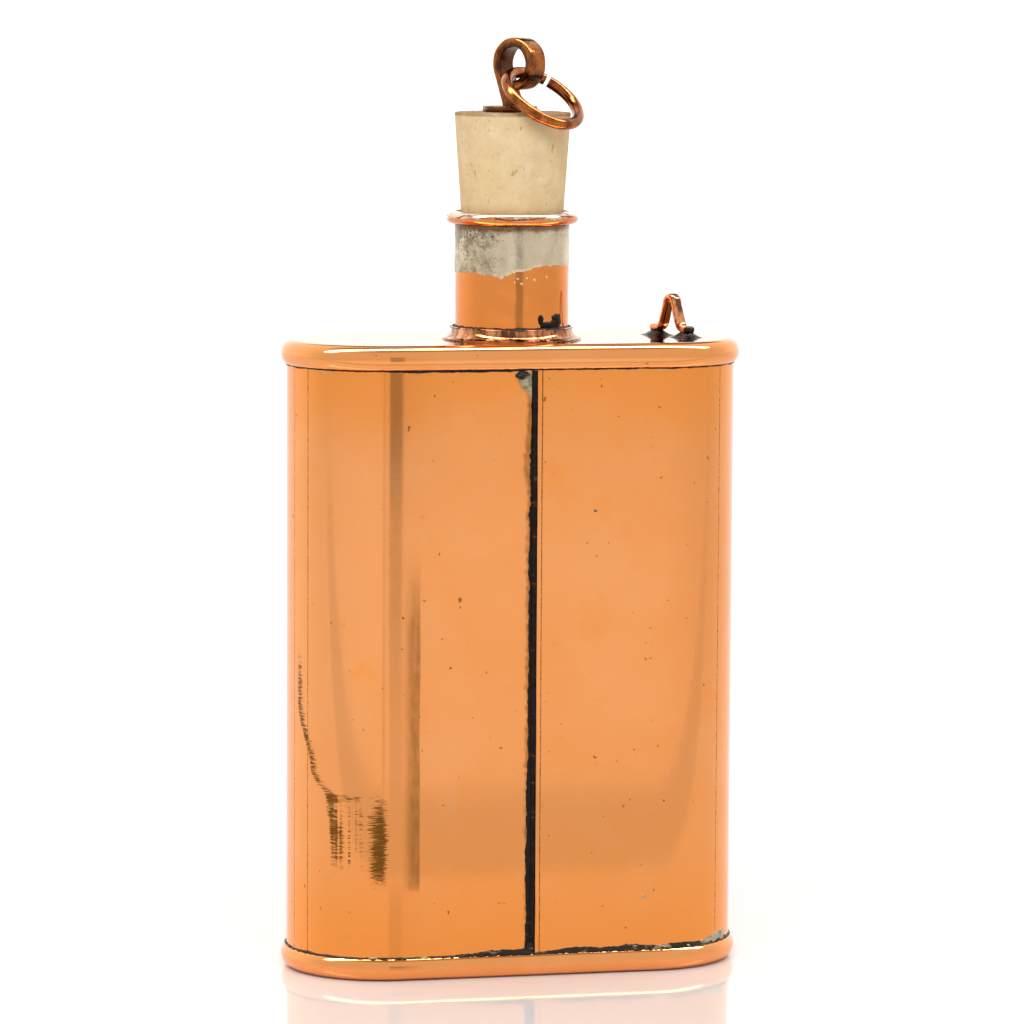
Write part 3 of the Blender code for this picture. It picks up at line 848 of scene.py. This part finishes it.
def make_smears():
    """Raised flakes of grey solder where the base joint ends, lumps on the seam and stray dots."""
    flakes = ((34.6, 2.2, 0.75, 0.25), (37.2, 1.9, 1.25, 0.45),
              (39.6, 1.5, 1.5, 0.6), (30.5, 2.4, 0.5, 0.15))
    for index, (right, half, tall, up) in enumerate(flakes):
        make_smear("base_flake_%d" % index, body_spot, (-right * MM, BASE_LIP + up * MM),
                   (half * MM, tall * MM), 0.30 * MM, solder_grey, 13.0 + index, turn=-0.35 * up)
    make_smear("seam_foot_lump", body_spot, (0.2 * MM, BASE_LIP + 0.9 * MM),
               (0.75 * MM, 1.1 * MM), 0.14 * MM, solder_mixed, 9.3)
    make_smear("seam_top_lump", body_spot, (1.9 * MM, SHOULDER_LIP - 1.0 * MM),
               (1.5 * MM, 0.9 * MM), 0.12 * MM, solder_mixed, 2.1)
    dots = ((11.7, 85.2, 0.40), (21.3, 14.0, 0.42), (2.9, 109.3, 0.30))
    for index, (right, z, size) in enumerate(dots):
        make_smear("solder_dot_%d" % index, body_spot, (-right * MM, z * MM),
                   (size * MM, 0.9 * size * MM), 0.16 * MM, solder_grey, 30.5 + 3 * index,
                   rings=6, steps=24)


# --- neck, collar and lip

TURN_STEPS = 240
TIN_EDGE_Z = LIP_Z - 9.6 * MM


def neck_wobble(angle, index):
    return 0.03 * MM * wander(2 * cos(angle) + 9, 2 * sin(angle), index * 0.13)


def make_neck():
    rows = spread(neck_low.z, neck_high.z, 60)
    profile = [(NECK_RADIUS, height) for height in rows]
    profile += [(NECK_BORE, height) for height in rows[::-6]]
    loops = turned(profile, TURN_STEPS, neck_wobble)
    make_piece("neck_pipe", loops, copper_turned, "neck_tube", closed=True)


def make_collar():
    """A trumpet-flared foot, thin at the top and at its edge on the shoulder."""
    inside = NECK_RADIUS + 0.02 * MM
    low = collar_low.z - 0.27 * MM
    flare = 1.75 * MM
    top_radius = COLLAR_RADIUS - flare + 0.1 * MM
    profile = [(inside, low), (COLLAR_RADIUS, low)]
    for r, h in arc(top_radius + flare, low + 0.18 * MM + flare, flare, 3 * pi / 2, pi, 16):
        profile.append((min(r, COLLAR_RADIUS), h))
    profile.append((top_radius, collar_high.z - 0.12 * MM))
    profile.append((top_radius - 0.15 * MM, collar_high.z))
    profile.append((inside, collar_high.z))
    loops = turned(profile, TURN_STEPS, lambda angle, index: 0.05 * MM * round_wander(angle, 3, 6.0))
    make_piece("neck_foot", loops, copper_collar, "neck_collar", closed=True)


def make_lip():
    """A half-round bead round the mouth, a little flattened."""
    inside = NECK_RADIUS + 0.01 * MM
    bulge = LIP_RADIUS - inside
    profile = []
    for along, up in arc(0, 0, 1, pi / 2, -pi / 2, 22):
        profile.append((inside + bulge * abs(along) ** 0.7, LIP_Z + LIP_HALF * up))
    profile[0] = (inside, LIP_Z + LIP_HALF)
    profile[-1] = (inside, LIP_Z - LIP_HALF)
    loops = turned(profile, TURN_STEPS, lambda angle, index: 0.06 * MM * round_wander(angle, 2.4, 2.0))
    make_piece("mouth_bead", loops, copper_lip, "lip_ring", sharp=60, closed=True)


def tin_edge(angle):
    """The height of the tin coat's lower edge: angular steps, and a pointed drip at the front."""
    around = atan2(sin(angle + 1.99), cos(angle + 1.99))
    drip = max(0.0, 1 - abs(around) / 0.26)
    lower_left = smoothstep(-0.1, -0.35, around) * 0.35
    step = 1.0 * smoothstep(0.1, 0.9, around) - 0.25 * floor(2.2 * wander(3.1 * angle, 2.0))
    fine = 0.22 * ragged(angle * 4.5, 6.0)
    return TIN_EDGE_Z + (step + fine - 1.35 * drip - lower_left) * MM


def make_tin():
    """The coat is a thin sleeve from under the bead down to its wavy edge."""
    top = LIP_Z - LIP_HALF + 0.3 * MM
    outer = [(share, True) for share in spread(0, 1, 40)]
    inner = [(1, False), (0, False)]
    loops = []
    for share, outside in outer + inner:
        loop = []
        for angle in full_turn(2 * TURN_STEPS):
            height = top + (tin_edge(angle) - top) * share
            lump = 0.5 + 0.5 * ragged(3 * cos(angle) + height / 0.002, 3 * sin(angle))
            thick = (0.05 + 0.03 * lump) * MM * (1 - smoothstep(0.94, 1.0, share)) + 0.05 * MM
            loop.append(spin(NECK_RADIUS + (thick if outside else -0.05 * MM), angle, height))
        loops.append(loop)
    make_piece("tin_sleeve", loops, tin_coat, "lip_joint_solder", sharp=60, closed=True)


def make_turned_run(name, radius, low, high, proud, seed, node=None):
    """A ragged fillet of burnt solder round the neck between two heights."""
    angles = full_turn(720)
    loops = []
    for share in spread(0, 1, 5):
        loop = []
        for angle in angles:
            rough = 1 + 0.45 * ragged(angle * 4.0, seed) + 0.25 * ragged(angle * 14.0, seed + 2)
            height = low + (high - low) * share * max(0.2, rough)
            out = proud * (1 - share) ** 0.8 * max(0.3, rough)
            loop.append(spin(radius + out, angle, height))
        loops.append(loop)
    for height in (high - 0.3 * (high - low), low):
        loops.append([spin(0.995 * radius, angle, height) for angle in angles])
    make_piece(name, loops, flux_black, node, sharp=60, closed=True)


def make_neck_solder():
    """Fillets at the foot and under the bead, burnt flux on the right and stray dots of tin."""
    low = collar_high.z
    under_lip = LIP_Z - LIP_HALF
    make_turned_run("neck_fillet", NECK_RADIUS, low - 0.25 * MM, low + 0.28 * MM, 0.85 * MM, 4.0,
                    "neck_joint_solder")
    make_turned_run("lip_line", NECK_RADIUS + 0.1 * MM, under_lip + 0.15 * MM,
                    under_lip - 0.12 * MM, 0.22 * MM, 12.0)
    angle = radians(-63)
    make_smear("neck_flux_blob", neck_spot, (angle + 0.20, low + 1.4 * MM),
               (0.15, 1.35 * MM), 0.35 * MM, flux_black, 41.0)
    make_smear("neck_flux_bridge", neck_spot, (angle, low + 0.75 * MM),
               (0.20, 0.65 * MM), 0.3 * MM, flux_black, 45.0)
    make_smear("neck_flux_horn", neck_spot, (angle - 0.17, low + 1.75 * MM),
               (0.06, 0.95 * MM), 0.3 * MM, flux_black, 43.0, rings=8, steps=40)
    dots = ((-97, 9.2, 0.22), (-93, 8.3, 0.28), (-88, 9.3, 0.2),
            (-80, 9.0, 0.24), (-66, 9.4, 0.26), (-100, 8.6, 0.18))
    for index, (turn, up, size) in enumerate(dots):
        make_smear("tin_dot_%d" % index, neck_spot, (radians(turn), low + up * MM),
                   (size * MM / NECK_RADIUS, size * MM), 0.13 * MM, tin_coat, 60.0 + index,
                   rings=5, steps=20)


# --- staple

STAPLE_X = (staple_low.x + staple_high.x) / 2
STAPLE_TURN = radians(-64.2)
STAPLE_ALONG = spin(1, STAPLE_TURN, 0)
STAPLE_ACROSS = Vector((-STAPLE_ALONG.y, STAPLE_ALONG.x, 0))
FOOT_LIFT = 0.95 * MM


def densify(points, spacing):
    """The polyline's points with more of them on its long stretches."""
    dense = []
    for start, end in zip(points, points[1:]):
        steps = max(1, round((end - start).length / spacing))
        for step in range(steps):
            dense.append(start.lerp(end, step / steps))
    return dense + [points[-1]]


def soften(points, rounds):
    """Rounds a polyline's corners by averaging neighbours, its ends kept."""
    for _ in range(rounds):
        inner = [(a + 2 * b + c) / 4 for a, b, c in zip(points, points[1:], points[2:])]
        points = [points[0]] + inner + [points[-1]]
    return points


def make_staple():
    """A bent bar, sooty in its bend and at one tip, with painted dark reflections on its inner faces and
    on parts of its outer faces, in two pools of flux.
    """
    thick = 1.2 * MM
    arch = 1.1 * MM
    base = SHOULDER_Z + FOOT_LIFT + thick / 2
    tall = staple_high.z - SHOULDER_Z
    half = [(5.5 * MM, base - 0.2 * MM), (3.3 * MM, base - 0.05 * MM), (2.7 * MM, base + 0.25 * MM),
            (2.3 * MM, base + 0.9 * MM), (1.7 * MM, base + 2.8 * MM)]
    half += arc(0, staple_high.z - thick / 2 - arch, arch, 0.1, pi / 2, 14)
    flat = half + [(-along, up) for along, up in reversed(half[:-1])]
    origin = Vector((STAPLE_X, 0, 0))
    path = soften(densify([origin + STAPLE_ALONG * a + UP * z for a, z in flat], 0.18 * MM), 6)
    section = bar_section(2.15 * MM, 1.35 * MM, 0.60 * MM, 7)
    loops = sweep(path, section, STAPLE_ACROSS, hand_bent(len(path), 4, 0.45, 0.05, 7.0, 3.1))
    core = origin + UP * (SHOULDER_Z + 0.45 * tall)
    soot_and_dark_reflection = []
    for loop, centre in zip(loops, path):
        outward = (centre - core).normalized()
        rise = (centre.z - SHOULDER_Z) / tall
        reach = (centre - origin).dot(STAPLE_ALONG)
        band = smoothstep(0.45, 0.6, rise) if reach > 0 else smoothstep(0.9, 1.0, rise)
        bend = 0.8 * hump(0.24, 0.05, rise) * (reach > 0)
        tip = smoothstep(4.3 * MM, 4.8 * MM, reach)
        for point in loop:
            out = (point - centre).dot(outward)
            aside = abs((point - centre).dot(STAPLE_ACROSS))
            # Painted dark reflections: inside on the legs' inner faces, face down the middle of the outer
            # faces; bend and tip are sooty.
            inside = 0.8 * smoothstep(-0.1 * MM, -0.35 * MM, out) * smoothstep(0.2, 0.35, rise)
            face = 0.85 * smoothstep(0.1 * MM, 0.35 * MM, out) * band
            face *= smoothstep(0.75 * MM, 0.45 * MM, aside)
            soot_and_dark_reflection.append(min(1.0, max(inside, face, bend, tip)))
    make_piece("staple_bar", loops, copper_staple, "chain_staple",
               marks={"soot_and_dark_reflection": soot_and_dark_reflection})
    for end, side in (("front", 1), ("rear", -1)):
        foot = origin + STAPLE_ALONG * (side * 4.1 * MM)
        make_smear("staple_pool_" + end, shoulder_spot, (foot.x, foot.y), (4.1 * MM, 3.4 * MM),
                   1.3 * MM, flux_shiny, 50.0 + side, "staple_foot_solder_" + end, rings=30,
                   steps=120, turn=STAPLE_TURN, power=3.2, lumpy=0.08, uneven=0.10)


# --- cork and its fittings

def cork_pit(angle, height):
    """Small hollows in the cork's side, where its pores are."""
    x = 10.6 * cos(angle)
    y = 10.6 * sin(angle)
    pit = wander(x / 1.1, y / 1.1, height / MM / 0.7)
    fine = wander(x / 0.45, y / 0.45, height / MM / 0.45 + 9)
    return -0.16 * MM * smoothstep(0.42, 0.62, pit) + 0.02 * MM * fine


CORK_LOW_RADIUS = 8.55 * MM


def make_cork():
    edge = 0.35 * MM
    top_radius = cork_high.x
    low_radius = CORK_LOW_RADIUS
    high = cork_high.z - edge
    low = cork_low.z + edge
    profile = [(share * (top_radius - edge), cork_high.z) for share in (0.01, 0.25, 0.5, 0.75, 0.9)]
    profile += [(top_radius - edge + edge * sin(a), high + edge * cos(a)) for a in (0.0, 0.4, 0.8, 1.2)]
    side = len(profile)
    profile += [(top_radius + (low_radius - top_radius) * share, high + (low - high) * share)
                for share in spread(0, 1, 110)]
    last = len(profile)
    profile += [(share * (low_radius - edge), cork_low.z) for share in (1, 0.6, 0.01)]

    def wobble(angle, index):
        """Pores all down the side, and chips out of its top edge."""
        if not side <= index < last:
            return 0.0
        chip = max(0.0, ragged(5 * cos(angle), 5 * sin(angle) + 3) - 0.25)
        return cork_pit(angle, profile[index][1]) - 0.35 * MM * smoothstep(side + 5, side, index) * chip

    loops = turned(profile, 420, wobble)
    for loop in loops[:side]:
        for point in loop:
            point.z += 0.05 * MM * wander(point.x / 0.0012, point.y / 0.0012, 7.0)
    make_piece("cork_plug", loops, cork_pale, "cork_stopper", body="stopper", sharp=60)


def washer_loops(radius, low, high, seed, dome, shift=0.0):
    """A thin disc with an uneven cut edge, as turned loops, set off sideways by the shift."""
    edge = 0.12 * MM
    hub = 0.02 * MM
    profile = [(hub, low), (radius - edge, low), (radius, low + edge), (radius, high - edge),
               (radius - edge, high), (0.7 * radius, high + dome * 0.4),
               (0.4 * radius, high + dome * 0.8), (hub, high + dome)]
    uneven = (0, 1, 1, 1, 1, 0.4, 0.2, 0)

    def wobble(angle, index):
        return uneven[index] * 0.22 * MM * ragged(1.7 * cos(angle) + seed, 1.7 * sin(angle) + seed)

    sideways = Vector((shift, 0, 0))
    return [[point + sideways for point in loop] for loop in turned(profile, 120, wobble)]


def make_washers():
    plate = washer_loops(plate_high.x - 0.5 * MM, plate_low.z - 0.28 * MM, plate_high.z, 2.0,
                         0.12 * MM, -0.45 * MM)
    soot_and_dark_reflection = [0.7] * sum(len(loop) for loop in plate)
    make_piece("plate_disc", plate, copper_aged, "stopper_plate", body="stopper",
               marks={"soot_and_dark_reflection": soot_and_dark_reflection})
    rove = washer_loops(rove_high.x, rove_low.z, rove_high.z + 0.2 * MM, 7.0, 0.0)
    make_piece("rove_disc", rove, copper_aged, "stopper_rove", body="rove")


EYE_THICK = 1.7 * MM
EYE_OUTER = 4.8 * MM
EYE_Z = eye_high.z - EYE_OUTER
EYE_OFFSET = 1.5 * MM
TANG_TOP_Z = 158.3 * MM


def make_eye():
    """A strip curled to a loop, with a leaning stem and a tang down through the cork."""
    radius = EYE_OUTER - EYE_THICK / 2
    rise = EYE_Z - TANG_TOP_Z
    start = atan2(rise, EYE_OFFSET) + asin(radius / hypot(EYE_OFFSET, rise)) + pi / 2
    foot_z = eye_low.z + EYE_THICK / 2
    bend = 1.3 * MM
    flat = arc(EYE_OFFSET, EYE_Z, radius, radians(-105), start, 90) + [(0, TANG_TOP_Z)]
    flat += arc(bend, foot_z + bend, bend, pi, 3 * pi / 2, 8) + [(4.2 * MM, foot_z)]
    path = soften(densify([EYE_ALONG * a + UP * z for a, z in flat], 0.3 * MM), 4)
    section = bar_section(4.2 * MM, EYE_THICK, 0.45 * MM, 6)
    loops = sweep(path, section, RING_AXIS, hand_bent(len(path), 3, 0.3, 0.035, 9.0, 7.7))
    middle = EYE_ALONG * EYE_OFFSET + UP * EYE_Z
    inner = EYE_OUTER - 0.75 * EYE_THICK
    soot_and_dark_reflection = []
    for loop in loops:
        for point in loop:
            away = point - middle
            away -= RING_AXIS * away.dot(RING_AXIS)
            far = away.length
            turn = degrees(atan2(away.z, away.dot(EYE_ALONG)))
            hollow = 0.85 * smoothstep(inner + 0.3 * MM, inner, far) * (point.z > TANG_TOP_Z + 0.002)
            stain = hump(-32, 16, turn) * smoothstep(inner, inner + 0.6 * MM, far)
            foot = 0.6 * smoothstep(TANG_TOP_Z + 0.0012, TANG_TOP_Z, point.z)
            soot_and_dark_reflection.append(min(1.0, max(hollow, stain, foot)))
    make_piece("eye_strip", loops, copper_aged, "stopper_eye", body="stopper",
               marks={"soot_and_dark_reflection": soot_and_dark_reflection})


def make_ring():
    """Round wire bent to a ring that isn't quite closed, its ends cut square."""
    radius = 7.33 * MM
    wire = 1.05 * MM
    tilt = radians(38.5)
    outwards = EYE_ALONG * cos(tilt) - UP * sin(tilt)
    gap = 0.8 * MM / radius
    first = radians(48) + gap / 2
    path = []
    for share in spread(0, 1, 200):
        turn = first + (2 * pi - gap) * share
        away = outwards * (radius - radius * cos(turn))
        path.append(RING_HINGE + away + RING_AXIS * (radius * sin(turn)))
    section = arc(0, 0, wire, 0, 2 * pi, 28)[:-1]
    loops = sweep(path, section, RING_AXIS.cross(outwards), lambda i: 1 + 0.03 * wander(i / 11.0, 5.1))
    make_piece("ring_wire", loops, copper_aged, "split_ring", body="ring")


# --- studio

CAMERA_AZIMUTH = radians(-13.17)
CAMERA_DISTANCE = 0.95
CAMERA_HEIGHT = 0.1846
CAMERA_SIDESTEP = 0.00025
CAMERA_PITCH = radians(6.087)
CAMERA_ROLL = radians(0.304)
CAMERA_LENS = 182.6
FLOOR_SIZE = 6.0
FRONT_LEVEL = 0.89
BACK_LEVEL = 1.3
ROOM_LEVEL = 0.07
OVERHEAD_LEVEL = 0.45
MIRROR_X = 0.228     # where the bottle's flat front mirrors the world, as a direction's X


def make_world():
    """A white sweep all round, brighter behind, with a pale ceiling.

    Over the bright part is a dark room, only about the direction that the flat front mirrors.
    """
    world = bpy.data.worlds.new("studio")
    bpy.context.scene.world = world
    world.use_nodes = True
    tree = world.node_tree
    direction = add_node(tree, "TexCoord").outputs["Generated"]
    parts = add_node(tree, "SeparateXYZ", Vector=direction).outputs
    sweep_level = ramp(parts["Y"], -0.2, 0.8, FRONT_LEVEL, BACK_LEVEL)
    behind = ramp(parts["Y"], 0.0, 0.35)
    above = ramp(parts["Z"], 0.38, 0.45)
    below = ramp(parts["Z"], 0.62, 0.72, 1, 0.45)
    aside = maths("SUBTRACT", parts["X"], MIRROR_X)
    about = ramp(times(aside, aside), 0.015, 0.09, 1, 0)
    dark = times(times(behind, above), times(below, about))
    lower = times(sweep_level, ramp(dark, 0, 1, 1, ROOM_LEVEL))
    ceiling = ramp(parts["Z"], 0.80, 0.92)
    open_air = ramp(parts["Z"], 0.80, 0.92, 1, 0)
    level = plus(times(lower, open_air), times(ceiling, OVERHEAD_LEVEL))
    feed_all(tree.nodes["Background"], {"Color": (1, 0.995, 0.985), "Strength": level})


def stage_plane(name, corners, material):
    mesh = bpy.data.meshes.new(name)
    mesh.from_pydata(corners, [], [(0, 1, 2, 3)])
    mesh.materials.append(material)
    plane = link_new(name, mesh)
    return plane


def make_floor():
    look = Look("floor", (0.90, 0.885, 0.87), Metallic=0.0, Roughness=0.06, IOR=1.45)
    feed(look.shader.inputs["Base Color"], look.colour)
    far = FLOOR_SIZE / 2
    stage_plane("floor", [(-far, -far, 0), (far, -far, 0), (far, far, 0), (-far, far, 0)], look.material)


def glow(name, level):
    material = bpy.data.materials.new(name)
    material.use_nodes = True
    tree = material.node_tree
    tree.nodes.clear()
    lamp = add_node(tree, "Emission", Color=(1, 1, 1), Strength=level)
    add_node(tree, "OutputMaterial", Surface=lamp.outputs[0])
    return material


def make_card(name, corners, level):
    """A card that only shiny surfaces see."""
    card = stage_plane(name, corners, glow(name, level))
    card.visible_camera = False
    card.visible_diffuse = False
    card.visible_transmission = False
    card.visible_shadow = False


def beside_mirror_ray(away, aside):
    """A floor point that far in front of the bottle, by the ray the flat's left end mirrors."""
    camera_x = CAMERA_DISTANCE * sin(CAMERA_AZIMUTH)
    camera_y = -CAMERA_DISTANCE * cos(CAMERA_AZIMUTH)
    slope = (-BODY_FLAT - camera_x) / (-BODY_RADIUS - camera_y)
    return Vector((-BODY_FLAT + slope * away - aside, -BODY_RADIUS - away, 0.0015))


def make_cards():
    """A card in front to the left, a strip on the floor and a bright one overhead."""
    away, tall = 0.86, 0.25
    edge = beside_mirror_ray(away, 0.006)
    other = beside_mirror_ray(away, 0.235)
    make_card("card_front", [other, edge, edge + UP * tall, other + UP * tall], 0.53)
    for name, left, right, near, far, height, level in (
            ("card_floor", -0.9, 1.2, -BODY_RADIUS - 0.1, -BODY_RADIUS - 0.2, 0.001, 0.86),
            ("card_overhead", -1.6, 1.6, -0.20, 0.14, 1.3, 15.0)):
        make_card(name, [(left, near, height), (right, near, height),
                         (right, far, height), (left, far, height)], level)


def make_softbox():
    """A soft lamp high in front, which lights the cork and the floor."""
    data = bpy.data.lights.new("softbox", "AREA")
    data.shape = "RECTANGLE"
    data.size = 1.4
    data.size_y = 0.6
    data.energy = 12
    lamp = link_new("softbox", data)
    lamp.location = (-0.3, -0.9, 1.25)
    aim = Vector((0, 0, 0.08)) - lamp.location
    lamp.rotation_euler = aim.to_track_quat("-Z", "Y").to_euler()
    lamp.visible_glossy = False


def make_camera():
    data = bpy.data.cameras.new("camera")
    data.lens = CAMERA_LENS
    data.sensor_width = 36
    camera = link_new("camera", data)
    right = spin(1, CAMERA_AZIMUTH, 0)
    level = Vector((-sin(CAMERA_AZIMUTH), cos(CAMERA_AZIMUTH), 0))
    forward = level * cos(CAMERA_PITCH) - UP * sin(CAMERA_PITCH)
    upward = right.cross(forward)
    place_at = right * CAMERA_SIDESTEP - level * CAMERA_DISTANCE + UP * CAMERA_HEIGHT
    facing = Matrix((right, upward, -forward)).transposed().to_4x4()
    roll = Matrix.Rotation(CAMERA_ROLL, 4, "Z")
    camera.matrix_world = Matrix.Translation(place_at) @ facing @ roll
    bpy.context.scene.camera = camera


# --- everything together

make_body()
make_shoulder()
make_base()
make_seam_solder()
make_ring_solder("shoulder_run", SHOULDER_LIP, -1, shoulder_run, 0.22 * MM, flux_black,
                 "shoulder_joint_solder", 2.0)
make_ring_solder("base_run", BASE_LIP, 1, base_run, 0.35 * MM, solder_mixed, "base_joint_solder", 7.0)
make_smears()
make_neck()
make_collar()
make_lip()
make_tin()
make_neck_solder()
make_staple()
make_cork()
make_washers()
make_eye()
make_ring()

make_world()
make_floor()
make_cards()
make_softbox()
make_camera()
bpy.context.scene.view_settings.view_transform = "Standard"
